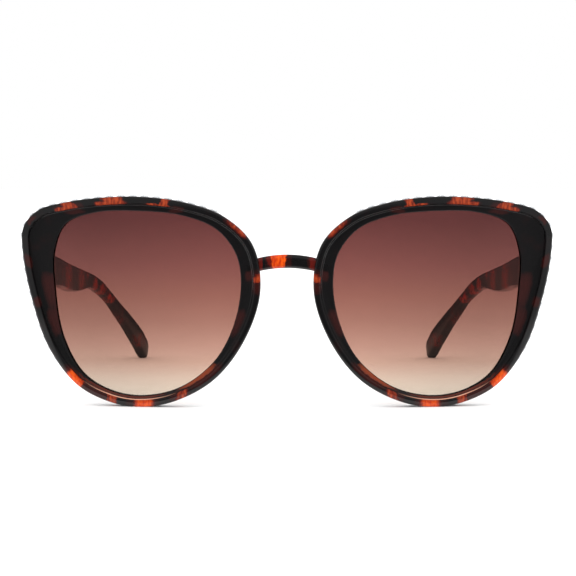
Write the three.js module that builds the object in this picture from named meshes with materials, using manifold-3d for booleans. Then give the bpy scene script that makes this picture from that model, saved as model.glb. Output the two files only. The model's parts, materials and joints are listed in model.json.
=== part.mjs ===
// Cat eye sunglasses: a tortoiseshell front with two cylinder lenses, a strip of set stones let into the
// outer edge of each rim, two nose pads, and two temples on five-barrel hinges.
// Millimetres. X runs towards the wearer's left, Y from the front of the frame back to the ears, Z up.
// Every side piece is made for the wearer's left (+X) and mirrored for the right.
import * as THREE from 'three';
import { mergeVertices } from 'three/addons/utils/BufferGeometryUtils.js';
import Module from 'manifold-3d';

const wasm = await Module();
wasm.setup();

// ---- Driving dimensions ----

const FACE_RADIUS = 280; // the front is bent round a vertical cylinder of this radius
const RIM_THICKNESS = 4.8;
const RIDGE_WIDTH = 2.1; // the raised border round each rim
const RECESS_DEPTH = 1.2; // how far the rest of the rim lies behind that border
const FLOOR_CUT = 0.12; // the rims and the temple tips are worn flat by this much where they stand

const LENS_DEPTH = 1.9; // from the rim's front to the lens's front
const LENS_THICKNESS = 1.8;
const LENS_BITE = 0.6; // how far the lens's edge goes into the rim
const FIT_GAP = 0.3; // clearance round a lens in its groove and round cut neighbours

const BRIDGE_TOP = 41.35; // at the centre
const BRIDGE_HEIGHT = 3.65;
const BRIDGE_DROP = 1.76; // from the middle of the bar to its sunk ends
const BRIDGE_DEPTH = 1.2; // the bar lies this far behind the rims' front
const BRIDGE_THICKNESS = 2.9;
const BRIDGE_HALF_SPAN = 10.6; // its ends are sunk into the rims

const HINGE_X = 65.8;
const HINGE_Y = 17;
const HINGE_Z = 36.4;
const KNUCKLE_RADIUS = 1.2;
const KNUCKLE_HEIGHT = 1.5;
const KNUCKLE_COUNT = 5;
const KNUCKLE_GAP = 0.12;
const LEAF_HALF_HEIGHT = (KNUCKLE_COUNT * KNUCKLE_HEIGHT + (KNUCKLE_COUNT - 1) * KNUCKLE_GAP) / 2;
const HINGE_ROOM_HALF_HEIGHT = 8; // of the hollow that the knuckles turn in
const HINGE_HOLE_RADIUS = 0.75;
const SCREW_RADIUS = 0.7;
const SCREW_HEAD_RADIUS = 1.1;
const SCREW_HEAD_HEIGHT = 0.7;
const SCREW_HEAD_GAP = 0.05;
const SCREW_SLOT_WIDTH = 0.36;
const SCREW_SLOT_DEPTH = 0.3;
const LEAF_THICKNESS = 0.8;
const FRONT_LEAF_LENGTH = 2.2;
const FRONT_LEAF_GAP = 0.1; // between a leaf's plate and the plastic
const TEMPLE_LEAF_LENGTH = 7.5;
const TEMPLE_LEAF_GAP = 0.3;
const ANCHOR_RADIUS = 0.45; // the stubs that hold each leaf in the plastic
const ANCHOR_DEPTH = 1.5;
const ANCHOR_SPREAD = 2.6; // from the hinge's middle height to each stub
const FRONT_ANCHOR_Y = 14.4;
const TEMPLE_ANCHOR_Y = 22.5;

const LUG_THICKNESS = 3.8;
const TEMPLE_GAP = 0.15; // from the hinge axis to the lug's rear face and to the temple's butt
const TEMPLE_INNER_X = 66.6; // inner face of the lug and of the temple's butt
const LUG_TOP = 40.8;
const LUG_BOTTOM = 31.9;
const LUG_FRONT_Y = 9;

const CORE_RADIUS = 0.5; // stiffening wire inside the temple
const CORE_HOLE_RADIUS = 0.75;

const STONE_COUNT = 30;
const STONE_RADIUS = 1.05;
const STONE_TABLE_RADIUS = 0.6;
const STONE_DEPTH = 2.4; // from the rim's front to the middle of the strip
const STONE_RISE = 0.7; // how far a stone stands proud of the rim's edge
const RAIL_WIDTH = 2.3;
const RAIL_SINK = 0.6;
const RAIL_RISE = 0.25;

const OUTLINE_STEPS = 72; // straight steps round each rim and lens opening
const FACE_STEPS = 24; // straight steps across the bent front
const STRIP_STEPS = 44; // straight steps along the stones' run
const TEMPLE_STEPS = 28;

// Places clear of the whole object, where solids that only cut or are cut begin and end.
const CLEAR_FRONT = -20;
const CLEAR_REAR = 30; // behind the front's deepest point, which is well before the ears
const CLEAR_SIDE = 80;
const CLEAR_BELOW = -5;
const CLEAR_ABOVE = 65;

// Outer edge of the left rim, as (x, z), from the middle of the brow clockwise.
const RIM_OUTLINE = [
  [37.5, 56.7], [48.5, 56.7], [60, 55.3], [68, 53], [72, 48.4], [72.2, 41.5], [69.6, 28.4], [65, 15.7],
  [57.4, 5.9], [49, 1.5], [40.5, 0], [30.5, 1.6], [19.5, 7.7], [11.2, 18.6], [7.1, 31.5], [9.2, 44],
  [17, 51.6], [27, 55.2],
];

// Edge of the left lens opening, as (x, z), from the nasal side over the top.
const LENS_OPENING = [
  [12.4, 33.5], [13.7, 41.4], [19, 48.1], [28, 51.7], [41, 53], [52, 52.5], [60.2, 49.4], [63.4, 42],
  [63.3, 31.5], [61.2, 19], [55.6, 8.8], [47.5, 4], [38.3, 2.9], [28.3, 5.6], [19.2, 13], [14.1, 23.2],
];

// The stones run from STRIP_START over the brow and the outer corner down to STRIP_END, as (x, z).
const STRIP_START = [18.3, 52.2];
const STRIP_END = [62, 11];

// Inner face of the left temple seen from above, as (x, y), from the butt to the tip.
const TEMPLE_PLAN = [[66.6, 17], [65.45, 62], [64, 86], [62.35, 99], [60.45, 107], [58.35, 113.5],
  [53.7, 124.5], [49.6, 133.3], [48, 137.2]];
// Its thickness at distances back from the front, as (y, thickness).
const TEMPLE_THICKNESS = [[17, 3.8], [60, 3.4], [100, 2.7], [112, 2.5], [125, 2.7], [138, 3]];

// Upper and lower edge of the temple seen from the side, as (y, z), from the butt to the tip.
const TEMPLE_UPPER = [[17, 40.8], [35, 39.7], [62, 36.2], [86, 33.05], [99, 30.85], [107, 28.2],
  [113.5, 24.4], [119, 20.6], [124.5, 16.75], [129.8, 12.6], [133.2, 9.6], [136, 6.4]];
const TEMPLE_LOWER = [[17, 31.9], [50.8, 29.7], [61, 28.2], [73.5, 27.05], [84.2, 26.85], [93, 26.95],
  [99.5, 26], [107, 23.5], [113.5, 20.1], [118, 16.4], [122.8, 12.3], [127.5, 7.7], [131, 4.1], [133.4, 1.3]];
const TEMPLE_TIP = [[137.1, 3.9], [136.8, 1.2], [135.2, 0]]; // round end, between the two edges

// Middle of the core wire, as (x, y, z), from the butt towards the tip.
const CORE_PATH = [[68.5, 17.5, 36.4], [67.4, 55, 33.1], [65.6, 85, 30], [63.7, 99, 28.4], [61.8, 107, 25.9],
  [60.2, 111.5, 23.6]];

// Nose pad: an oval pad along the nasal edge, centre (x, y, z) and half sizes.
const PAD_CENTRE = [11.3, 5.4, 24.5];
const PAD_HALF_SIZES = [1.9, 5, 8.6];
const PAD_TILT = THREE.MathUtils.degToRad(19);

// ---- Solids ----

// A closed mesh as a solid that can be joined and cut.
function toSolid(geometry) {
  geometry.deleteAttribute('normal');
  geometry.deleteAttribute('uv');
  const merged = mergeVertices(geometry, 1e-4);
  return new wasm.Manifold(new wasm.Mesh({
    numProp: 3,
    vertProperties: new Float32Array(merged.attributes.position.array),
    triVerts: new Uint32Array(merged.index.array),
  }));
}

function toGeometry(solid) {
  const mesh = solid.getMesh();
  const geometry = new THREE.BufferGeometry();
  geometry.setAttribute('position', new THREE.BufferAttribute(mesh.vertProperties, 3));
  geometry.setIndex(new THREE.BufferAttribute(mesh.triVerts, 1));
  return geometry;
}

// The same geometry on the wearer's other side.
function mirrored(geometry) {
  const copy = geometry.clone();
  copy.scale(-1, 1, 1);
  const index = copy.index.array;
  for (let i = 0; i < index.length; i += 3) {
    [index[i], index[i + 1]] = [index[i + 1], index[i]];
  }
  return copy;
}

const bothSides = (solid) => solid.add(toSolid(mirrored(toGeometry(solid))));

function block(x0, x1, y0, y1, z0, z1) {
  const geometry = new THREE.BoxGeometry(x1 - x0, y1 - y0, z1 - z0);
  geometry.translate((x0 + x1) / 2, (y0 + y1) / 2, (z0 + z1) / 2);
  return toSolid(geometry);
}

// An upright cylinder.
function post(x, y, z0, z1, radius, sides = 16) {
  const geometry = new THREE.CylinderGeometry(radius, radius, z1 - z0, sides);
  geometry.rotateX(Math.PI / 2);
  geometry.translate(x, y, (z0 + z1) / 2);
  return toSolid(geometry);
}

// A flat outline pushed straight through, along the axis that the outline's own two axes leave.
function extruded(points, length) {
  return new THREE.ExtrudeGeometry(new THREE.Shape(points), { depth: length, bevelEnabled: false });
}

// (x, z) outline, solid from y0 back to y1.
function prismAlongY(points, y0, y1) {
  const geometry = extruded(points, y1 - y0);
  geometry.rotateX(Math.PI / 2);
  geometry.translate(0, y1, 0);
  return toSolid(geometry);
}

// (x, z) outline, pushed through the whole depth of the front.
const throughFront = (points) => prismAlongY(points, CLEAR_FRONT, CLEAR_REAR);

// (y, z) outline, solid from x0 to x1.
function prismAlongX(points, x0, x1) {
  const geometry = extruded(points, x1 - x0);
  geometry.rotateZ(Math.PI / 2);
  geometry.rotateY(Math.PI / 2);
  geometry.translate(x0, 0, 0);
  return toSolid(geometry);
}

// (x, y) outline, solid from z0 up to z1.
function prismAlongZ(points, z0, z1) {
  const geometry = extruded(points, z1 - z0);
  geometry.translate(0, 0, z0);
  return toSolid(geometry);
}

// Everything between two depths behind the bent front surface.
function bentSlab(frontDepth, backDepth) {
  const halfAngle = Math.asin(CLEAR_SIDE / FACE_RADIUS);
  const middle = -Math.PI / 2;
  const shape = new THREE.Shape();
  shape.absarc(0, FACE_RADIUS, FACE_RADIUS - frontDepth, middle - halfAngle, middle + halfAngle, false);
  shape.absarc(0, FACE_RADIUS, FACE_RADIUS - backDepth, middle + halfAngle, middle - halfAngle, true);
  const options = { depth: CLEAR_ABOVE - CLEAR_BELOW, bevelEnabled: false, curveSegments: FACE_STEPS / 2 };
  const geometry = new THREE.ExtrudeGeometry(shape, options);
  geometry.translate(0, 0, CLEAR_BELOW);
  return toSolid(geometry);
}

// ---- Outlines ----

function closedCurve(points) {
  return new THREE.CatmullRomCurve3(points.map(([a, b]) => new THREE.Vector3(a, b, 0)), true);
}

function openCurve(points) {
  return new THREE.CatmullRomCurve3(points.map(([a, b]) => new THREE.Vector3(a, b, 0)), false);
}

// The point at u along a clockwise curve, moved out from the curve by a distance.
function offsetPoint(curve, u, distance) {
  const point = curve.getPointAt(u);
  const tangent = curve.getTangentAt(u);
  return new THREE.Vector2(point.x - tangent.y * distance, point.y + tangent.x * distance);
}

function offsetOutline(points, distance) {
  const curve = closedCurve(points);
  const outline = [];
  for (let i = 0; i < OUTLINE_STEPS; i += 1) {
    outline.push(offsetPoint(curve, i / OUTLINE_STEPS, distance));
  }
  return outline;
}

// How far along the curve, from 0 to 1, the point nearest to (x, z) lies.
function nearestU(curve, [x, z]) {
  const target = new THREE.Vector3(x, z, 0);
  const candidates = Array.from({ length: 1000 }, (_, i) => i / 1000);
  const distance = (u) => curve.getPointAt(u).distanceTo(target);
  return candidates.reduce((best, u) => (distance(u) < distance(best) ? u : best));
}

// ---- Front ----

const rimCurve = closedCurve(RIM_OUTLINE);
const stripEndU = nearestU(rimCurve, STRIP_END);
const stripStartU = nearestU(rimCurve, STRIP_START) - 1;
const stripU = (fraction) => {
  const u = stripStartU + (stripEndU - stripStartU) * fraction;
  return (u + 1) % 1;
};

// A band along the strip's run, between two distances from the rim's edge.
function stripBand(inner, outer, frontDepth, backDepth) {
  const points = [];
  for (let i = 0; i <= STRIP_STEPS; i += 1) {
    points.push(offsetPoint(rimCurve, stripU(i / STRIP_STEPS), outer));
  }
  for (let i = STRIP_STEPS; i >= 0; i -= 1) {
    points.push(offsetPoint(rimCurve, stripU(i / STRIP_STEPS), inner));
  }
  return throughFront(points).intersect(bentSlab(frontDepth, backDepth));
}

function bridgeBar() {
  const topEdge = new THREE.CatmullRomCurve3([
    new THREE.Vector3(-BRIDGE_HALF_SPAN, BRIDGE_TOP - BRIDGE_DROP, 0),
    new THREE.Vector3(0, BRIDGE_TOP, 0),
    new THREE.Vector3(BRIDGE_HALF_SPAN, BRIDGE_TOP - BRIDGE_DROP, 0),
  ]).getPoints(12);
  const bottomEdge = topEdge.map((p) => new THREE.Vector2(p.x, p.y - BRIDGE_HEIGHT)).reverse();
  const outline = [...topEdge.map((p) => new THREE.Vector2(p.x, p.y)), ...bottomEdge];
  return throughFront(outline).intersect(bentSlab(BRIDGE_DEPTH, BRIDGE_DEPTH + BRIDGE_THICKNESS));
}

// The end piece that carries the hinge, behind the rim's outer side.
function lug() {
  const outerX = TEMPLE_INNER_X + LUG_THICKNESS;
  const rearY = HINGE_Y - TEMPLE_GAP;
  const blank = block(TEMPLE_INNER_X, outerX, LUG_FRONT_Y, rearY, LUG_BOTTOM, LUG_TOP);
  return blank.subtract(bentSlab(CLEAR_FRONT, RIM_THICKNESS / 2));
}

// Room for the knuckles and the holes for a leaf's two anchors, in the lug or in the temple.
function hingeSeat(anchorY) {
  const room = HINGE_ROOM_HALF_HEIGHT;
  let seat = post(HINGE_X, HINGE_Y, HINGE_Z - room, HINGE_Z + room, KNUCKLE_RADIUS + FIT_GAP);
  for (const z of anchorHeights()) {
    seat = seat.add(anchor(anchorY, z, ANCHOR_RADIUS + FIT_GAP / 2, ANCHOR_DEPTH + FIT_GAP));
  }
  return seat;
}

function frameFront() {
  const rims = bothSides(throughFront(offsetOutline(RIM_OUTLINE, 0)));
  const recess = throughFront(offsetOutline(RIM_OUTLINE, -RIDGE_WIDTH))
    .intersect(bentSlab(CLEAR_FRONT, RECESS_DEPTH));
  const opening = throughFront(offsetOutline(LENS_OPENING, 0));
  const grooveFront = LENS_DEPTH - FIT_GAP;
  const grooveBack = LENS_DEPTH + LENS_THICKNESS + FIT_GAP;
  const groove = throughFront(offsetOutline(LENS_OPENING, LENS_BITE + FIT_GAP))
    .intersect(bentSlab(grooveFront, grooveBack));
  const railHalf = RAIL_WIDTH / 2 + FIT_GAP / 2;
  const slotBottom = -RAIL_SINK - FIT_GAP / 2;
  const railSlot = stripBand(slotBottom, RIM_THICKNESS, STONE_DEPTH - railHalf, STONE_DEPTH + railHalf);
  const cuts = recess.add(opening).add(groove).add(railSlot).add(hingeSeat(FRONT_ANCHOR_Y));
  return rims.intersect(bentSlab(0, RIM_THICKNESS))
    .add(bridgeBar())
    .add(bothSides(lug()))
    .subtract(bothSides(cuts))
    .subtract(block(-CLEAR_SIDE, CLEAR_SIDE, CLEAR_FRONT, CLEAR_REAR, CLEAR_BELOW, FLOOR_CUT));
}

function lens() {
  return throughFront(offsetOutline(LENS_OPENING, LENS_BITE))
    .intersect(bentSlab(LENS_DEPTH, LENS_DEPTH + LENS_THICKNESS));
}

function nosePad() {
  const geometry = new THREE.SphereGeometry(1, 16, 10);
  geometry.scale(...PAD_HALF_SIZES);
  geometry.rotateY(-PAD_TILT);
  geometry.translate(...PAD_CENTRE);
  return toSolid(geometry).intersect(bentSlab(RIM_THICKNESS + FIT_GAP / 2, CLEAR_REAR));
}

// The metal rail let into the rim's edge, with its stones standing in it.
function stoneStrip() {
  const half = RAIL_WIDTH / 2;
  let strip = stripBand(-RAIL_SINK, RAIL_RISE, STONE_DEPTH - half, STONE_DEPTH + half);
  for (let i = 0; i < STONE_COUNT; i += 1) {
    strip = strip.add(stone((i + 0.5) / STONE_COUNT));
  }
  return strip;
}

function stone(fraction) {
  const u = stripU(fraction);
  const height = RAIL_SINK / 2 + STONE_RISE;
  const geometry = new THREE.CylinderGeometry(STONE_TABLE_RADIUS, STONE_RADIUS, height, 6);
  const foot = offsetPoint(rimCurve, u, -RAIL_SINK / 2);
  const top = offsetPoint(rimCurve, u, STONE_RISE);
  const outward = new THREE.Vector3(top.x - foot.x, 0, top.y - foot.y).normalize();
  const turn = new THREE.Quaternion().setFromUnitVectors(new THREE.Vector3(0, 1, 0), outward);
  geometry.applyQuaternion(turn);
  const bend = FACE_RADIUS - Math.sqrt(FACE_RADIUS ** 2 - foot.x ** 2);
  geometry.translate((foot.x + top.x) / 2, bend + STONE_DEPTH, (foot.y + top.y) / 2);
  return toSolid(geometry);
}

// ---- Hinge ----

function anchorHeights() {
  return [HINGE_Z - ANCHOR_SPREAD, HINGE_Z + ANCHOR_SPREAD];
}

// A stub that goes from a leaf into the plastic, along X.
function anchor(y, z, radius, depth) {
  const start = TEMPLE_INNER_X - LEAF_THICKNESS;
  const end = TEMPLE_INNER_X + depth;
  const geometry = new THREE.CylinderGeometry(radius, radius, end - start, 8);
  geometry.rotateZ(Math.PI / 2);
  geometry.translate((start + end) / 2, y, z);
  return toSolid(geometry);
}

// A leaf: a plate against the plastic, its anchors, and every second knuckle round the axis.
function hingeLeaf(plateX, plateY0, plateY1, anchorY, firstKnuckle) {
  const bottom = HINGE_Z - LEAF_HALF_HEIGHT;
  const top = HINGE_Z + LEAF_HALF_HEIGHT;
  let leaf = block(plateX, plateX + LEAF_THICKNESS, plateY0, plateY1, bottom, top);
  for (const z of anchorHeights()) {
    leaf = leaf.add(anchor(anchorY, z, ANCHOR_RADIUS, ANCHOR_DEPTH));
  }
  for (let i = firstKnuckle; i < KNUCKLE_COUNT; i += 2) {
    const z0 = bottom + i * (KNUCKLE_HEIGHT + KNUCKLE_GAP);
    const z1 = z0 + KNUCKLE_HEIGHT;
    const armY0 = Math.min(HINGE_Y, plateY1);
    const armY1 = Math.max(HINGE_Y, plateY0);
    leaf = leaf.add(post(HINGE_X, HINGE_Y, z0, z1, KNUCKLE_RADIUS));
    leaf = leaf.add(block(plateX, plateX + LEAF_THICKNESS, armY0, armY1, z0, z1));
  }
  return leaf.subtract(post(HINGE_X, HINGE_Y, bottom - 1, top + 1, HINGE_HOLE_RADIUS));
}

function hingeFrontLeaf() {
  const plateX = TEMPLE_INNER_X - FRONT_LEAF_GAP - LEAF_THICKNESS;
  const plateY1 = HINGE_Y - KNUCKLE_RADIUS - FIT_GAP;
  return hingeLeaf(plateX, plateY1 - FRONT_LEAF_LENGTH, plateY1, FRONT_ANCHOR_Y, 0);
}

function hingeTempleLeaf() {
  const plateX = TEMPLE_INNER_X - TEMPLE_LEAF_GAP - LEAF_THICKNESS;
  const plateY0 = HINGE_Y + KNUCKLE_RADIUS + FIT_GAP;
  return hingeLeaf(plateX, plateY0, plateY0 + TEMPLE_LEAF_LENGTH, TEMPLE_ANCHOR_Y, 1);
}

function hingeScrew() {
  const bottom = HINGE_Z - LEAF_HALF_HEIGHT;
  const headBottom = HINGE_Z + LEAF_HALF_HEIGHT + SCREW_HEAD_GAP;
  const headTop = headBottom + SCREW_HEAD_HEIGHT;
  const slotHalf = SCREW_SLOT_WIDTH / 2;
  const head = post(HINGE_X, HINGE_Y, headBottom, headTop, SCREW_HEAD_RADIUS);
  const shank = post(HINGE_X, HINGE_Y, bottom, headBottom + SCREW_HEAD_HEIGHT / 4, SCREW_RADIUS);
  const slot = block(HINGE_X - SCREW_HEAD_RADIUS * 2, HINGE_X + SCREW_HEAD_RADIUS * 2, HINGE_Y - slotHalf,
    HINGE_Y + slotHalf, headTop - SCREW_SLOT_DEPTH, CLEAR_ABOVE);
  return head.add(shank).subtract(slot);
}

// ---- Temple ----

function roundTube(points, radius) {
  const path = new THREE.CatmullRomCurve3(points.map((p) => new THREE.Vector3(...p)));
  const circle = new THREE.Shape().absarc(0, 0, radius, 0, Math.PI * 2, false);
  const options = { steps: 18, extrudePath: path, curveSegments: 4, bevelEnabled: false };
  return toSolid(new THREE.ExtrudeGeometry(circle, options));
}

function templeSideOutline() {
  const upper = openCurve(TEMPLE_UPPER).getSpacedPoints(TEMPLE_STEPS);
  const tip = openCurve([TEMPLE_UPPER.at(-1), ...TEMPLE_TIP, TEMPLE_LOWER.at(-1)]).getPoints(12).slice(1, -1);
  const lower = openCurve(TEMPLE_LOWER).getSpacedPoints(TEMPLE_STEPS).reverse();
  return [...upper, ...tip, ...lower].map((p) => new THREE.Vector2(p.x, p.y));
}

function templeThickness(y) {
  const next = TEMPLE_THICKNESS.findIndex(([place]) => place > y);
  const [y0, thick0] = TEMPLE_THICKNESS[next - 1];
  const [y1, thick1] = TEMPLE_THICKNESS[next];
  return thick0 + (thick1 - thick0) * ((y - y0) / (y1 - y0));
}

function templePlanOutline() {
  const inner = openCurve(TEMPLE_PLAN);
  const outline = [];
  for (let i = 0; i <= TEMPLE_STEPS; i += 1) {
    outline.push(offsetPoint(inner, i / TEMPLE_STEPS, 0));
  }
  for (let i = TEMPLE_STEPS; i >= 0; i -= 1) {
    const u = i / TEMPLE_STEPS;
    outline.push(offsetPoint(inner, u, -templeThickness(inner.getPointAt(u).y)));
  }
  return outline;
}

function temple() {
  const buttY = HINGE_Y + TEMPLE_GAP;
  const templeEnd = 140;
  const [butt, ...path] = CORE_PATH;
  const coreHole = roundTube([[butt[0], buttY - 2 * CORE_HOLE_RADIUS, butt[2]], ...path], CORE_HOLE_RADIUS);
  return prismAlongX(templeSideOutline(), 0, CLEAR_SIDE)
    .intersect(prismAlongZ(templePlanOutline(), CLEAR_BELOW, CLEAR_ABOVE))
    .subtract(block(0, CLEAR_SIDE, 0, buttY, CLEAR_BELOW, CLEAR_ABOVE))
    .subtract(block(0, CLEAR_SIDE, 0, templeEnd, CLEAR_BELOW, FLOOR_CUT))
    .subtract(coreHole)
    .subtract(hingeSeat(TEMPLE_ANCHOR_Y));
}

// The wire stops short of the blind end of its hole.
function templeCoreWire() {
  const path = CORE_PATH.slice(0, -1);
  const [x, y, z] = CORE_PATH.at(-1);
  return roundTube([...path, [x + 0.5, y - 1.5, z + 1]], CORE_RADIUS);
}

// ---- Assembly ----

const tortoise = new THREE.MeshStandardMaterial({ color: 0x2a1a14, roughness: 0.12, metalness: 0 });
const tint = new THREE.MeshStandardMaterial({
  color: 0x7a3a2a, roughness: 0.03, metalness: 0, transparent: true, opacity: 0.6,
});
const steel = new THREE.MeshStandardMaterial({ color: 0xb8b4ac, roughness: 0.3, metalness: 1 });
const setting = new THREE.MeshStandardMaterial({ color: 0xd8d8dc, roughness: 0.15, metalness: 0.6 });

function named(name, geometry, material) {
  const mesh = new THREE.Mesh(geometry, material);
  mesh.name = name;
  return mesh;
}

const glasses = new THREE.Group();
glasses.add(named('frame_front', toGeometry(frameFront()), tortoise));

const SIDE_PIECES = [
  ['lens', lens, tint],
  ['nose_pad', nosePad, tortoise],
  ['stone_strip', stoneStrip, setting],
  ['hinge_front_leaf', hingeFrontLeaf, steel],
  ['hinge_temple_leaf', hingeTempleLeaf, steel],
  ['hinge_screw', hingeScrew, steel],
  ['temple', temple, tortoise],
  ['temple_core_wire', templeCoreWire, steel],
];
for (const [name, make, material] of SIDE_PIECES) {
  const geometry = toGeometry(make());
  glasses.add(named(`${name}_left`, geometry, material));
  glasses.add(named(`${name}_right`, mirrored(geometry), material));
}

// The origin is the middle of the whole object's footprint, on the surface that it stands on.
const box = new THREE.Box3().setFromObject(glasses);
glasses.position.y = -(box.min.y + box.max.y) / 2;
glasses.position.z = -box.min.z;

export default glasses;
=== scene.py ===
"""The looks of the cat eye sunglasses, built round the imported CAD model.

Shapes are worked out in millimetres as (x, depth, z): x towards the wearer's left, depth from the front of
the frame back to the ears, z up from the lowest point of the rims. place() turns them into the row's metres.
"""
import json
import math

import bmesh
import bpy
import numpy as np
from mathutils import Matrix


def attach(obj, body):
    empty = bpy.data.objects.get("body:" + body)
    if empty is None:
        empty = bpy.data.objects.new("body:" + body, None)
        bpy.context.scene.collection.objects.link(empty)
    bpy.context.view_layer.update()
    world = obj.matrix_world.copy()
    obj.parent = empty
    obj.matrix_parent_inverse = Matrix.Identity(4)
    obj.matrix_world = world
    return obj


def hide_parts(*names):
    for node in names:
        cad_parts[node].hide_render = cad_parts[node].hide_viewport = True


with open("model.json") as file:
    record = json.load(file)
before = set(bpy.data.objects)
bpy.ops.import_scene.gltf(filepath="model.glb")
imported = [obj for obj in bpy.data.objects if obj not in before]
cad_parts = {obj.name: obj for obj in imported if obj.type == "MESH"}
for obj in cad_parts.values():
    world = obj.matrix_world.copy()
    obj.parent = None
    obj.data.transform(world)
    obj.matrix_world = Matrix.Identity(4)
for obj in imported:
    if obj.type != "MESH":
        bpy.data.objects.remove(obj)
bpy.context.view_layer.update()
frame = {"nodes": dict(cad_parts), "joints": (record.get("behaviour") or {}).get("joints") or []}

MM = 0.001
SIDES = (("left", 1), ("right", -1))

# ---- The design's driving dimensions, in millimetres ----

FACE_RADIUS = 280.0  # the front is bent round a vertical cylinder
RIM_THICKNESS = 4.8
RIDGE_EDGE = 2.06  # from the rim's outer edge in to the ridge's inner wall
EDGE_INSET = 0.03  # keeps the fine outlines inside the CAD's faceted ones
LENS_DEPTH = 1.9
LENS_THICKNESS = 1.8
LENS_BITE = 0.6  # how far the lens reaches into its groove
LENS_BEVEL = 0.2
HINGE_X = 65.8
HINGE_DEPTH = 17.0
FLOOR_CUT = 0.12  # the rims and temple tips are flattened by this much where they stand
BRIDGE_TOP = 41.35
BRIDGE_HEIGHT = 3.65
BRIDGE_DROP = 1.76  # fall of the bridge bar from its centre to its sunk ends
BRIDGE_HALF_SPAN = 10.6
BRIDGE_DEPTH = 1.2
BRIDGE_THICKNESS = 2.9
BRIDGE_CORNER = 0.95
LUG_INNER_X = 66.6
LUG_BOTTOM = 31.9
LUG_TOP = 40.8
LUG_THICKNESS = 3.8
LUG_CORNER = 1.0
TEMPLE_GAP = 0.15  # half of the cut between lug and temple
TEMPLE_CORNER = 0.9
BUTT_ROUNDING = (0.3, 0.25)  # along the temple and across it
STONE_COUNT = 30
STONE_DEPTH = 2.4
SLOT_HALF_WIDTH = 1.26  # the slot in the rim's edge that holds the stones' rail
SLOT_FLOOR = 0.74
PAD_CENTRE = (11.3, 5.4, 24.5)
PAD_HALF_SIZES = (1.85, 4.95, 8.5)
PAD_TILT = 19  # degrees
PAD_BULGE = 0.92  # 1 makes the pad a plain oval, and less makes it fuller
GLUE_GAP = 0.02

LENS_CENTRE = (38.0, 28.0)
PATTERN_START = (8.4, 41.5)
RIM_OUTLINE = [
    (37.5, 56.7), (48.5, 56.7), (60, 55.3), (68, 53), (72, 48.4), (72.2, 41.5), (69.6, 28.4), (65, 15.7),
    (57.4, 5.9), (49, 1.5), (40.5, 0), (30.5, 1.6), (19.5, 7.7), (11.2, 18.6), (7.1, 31.5), (9.2, 44),
    (17, 51.6), (27, 55.2),
]
LENS_OPENING = [
    (12.4, 33.5), (13.7, 41.4), (19, 48.1), (28, 51.7), (41, 53), (52, 52.5), (60.2, 49.4), (63.4, 42),
    (63.3, 31.5), (61.2, 19), (55.6, 8.8), (47.5, 4), (38.3, 2.9), (28.3, 5.6), (19.2, 13), (14.1, 23.2),
]
STRIP_START = (18.3, 52.2)
STRIP_END = (62, 11)
TEMPLE_PLAN = [(66.6, 17), (65.45, 62), (64, 86), (62.35, 99), (60.45, 107), (58.35, 113.5), (53.7, 124.5),
               (49.6, 133.3), (48, 137.2)]
TEMPLE_THICKNESS = [(17, 3.8), (60, 3.4), (100, 2.7), (112, 2.5), (125, 2.7), (138, 3)]  # by depth
TEMPLE_UPPER = [(17, 40.8), (35, 39.7), (62, 36.2), (86, 33.05), (99, 30.85), (107, 28.2), (113.5, 24.4),
                (119, 20.6), (124.5, 16.75), (129.8, 12.6), (133.2, 9.6), (136, 6.4)]
TEMPLE_LOWER = [(17, 31.9), (50.8, 29.7), (61, 28.2), (73.5, 27.05), (84.2, 26.85), (93, 26.95), (99.5, 26),
                (107, 23.5), (113.5, 20.1), (118, 16.4), (122.8, 12.3), (127.5, 7.7), (131, 4.1),
                (133.4, 1.3)]
TEMPLE_TIP = [(137.1, 3.9), (136.8, 1.2), (135.2, 0)]

DEPTH_ZERO = frame["joints"][0]["pos_m"][1] / MM - HINGE_DEPTH


def place(points):
    """(x, depth, z) in millimetres as the row's metres."""
    return (np.asarray(points, float) + (0, DEPTH_ZERO, -FLOOR_CUT)) * MM


def bent(x, depth):
    """How far back a point lies that is at a depth behind the bent front surface."""
    return FACE_RADIUS - np.sqrt((FACE_RADIUS - depth) ** 2 - np.square(x))


# ---- Curves ----

def smooth_curve(points, closed, per_span=40):
    """A centripetal Catmull-Rom curve through the points, as a dense polyline."""
    p = np.array(points, float)
    if closed:
        p = np.vstack([p[-1], p, p[0], p[1]])
    else:
        p = np.vstack([2 * p[0] - p[1], p, 2 * p[-1] - p[-2]])
    steps = np.linspace(0, 1, per_span, endpoint=False)[:, None]
    spans = []
    for p0, p1, p2, p3 in zip(p, p[1:], p[2:], p[3:]):
        d0, d1, d2 = (max(np.linalg.norm(b - a) ** 0.5, 1e-4) for a, b in ((p0, p1), (p1, p2), (p2, p3)))
        t1 = ((p1 - p0) / d0 - (p2 - p0) / (d0 + d1) + (p2 - p1) / d1) * d1
        t2 = ((p2 - p1) / d1 - (p3 - p1) / (d1 + d2) + (p3 - p2) / d2) * d1
        spans.append(p1 + t1 * steps + (3 * (p2 - p1) - 2 * t1 - t2) * steps ** 2
                     + (2 * (p1 - p2) + t1 + t2) * steps ** 3)
    if not closed:
        spans.append(p[-2:-1])
    return np.vstack(spans)


def offset(curve, distance):
    """A closed clockwise curve moved outwards by a distance."""
    tangent = np.roll(curve, -1, axis=0) - np.roll(curve, 1, axis=0)
    tangent /= np.linalg.norm(tangent, axis=1)[:, None]
    return curve + np.column_stack([-tangent[:, 1], tangent[:, 0]]) * distance


def along(curve, fractions):
    """Points at shares of the curve's length."""
    run = np.concatenate([[0], np.cumsum(np.linalg.norm(np.diff(curve, axis=0), axis=1))])
    wanted = np.asarray(fractions) * run[-1]
    return np.column_stack([np.interp(wanted, run, curve[:, i]) for i in range(curve.shape[1])])


rim_curve = smooth_curve(RIM_OUTLINE, True)
opening_curve = smooth_curve(LENS_OPENING, True)
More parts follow.
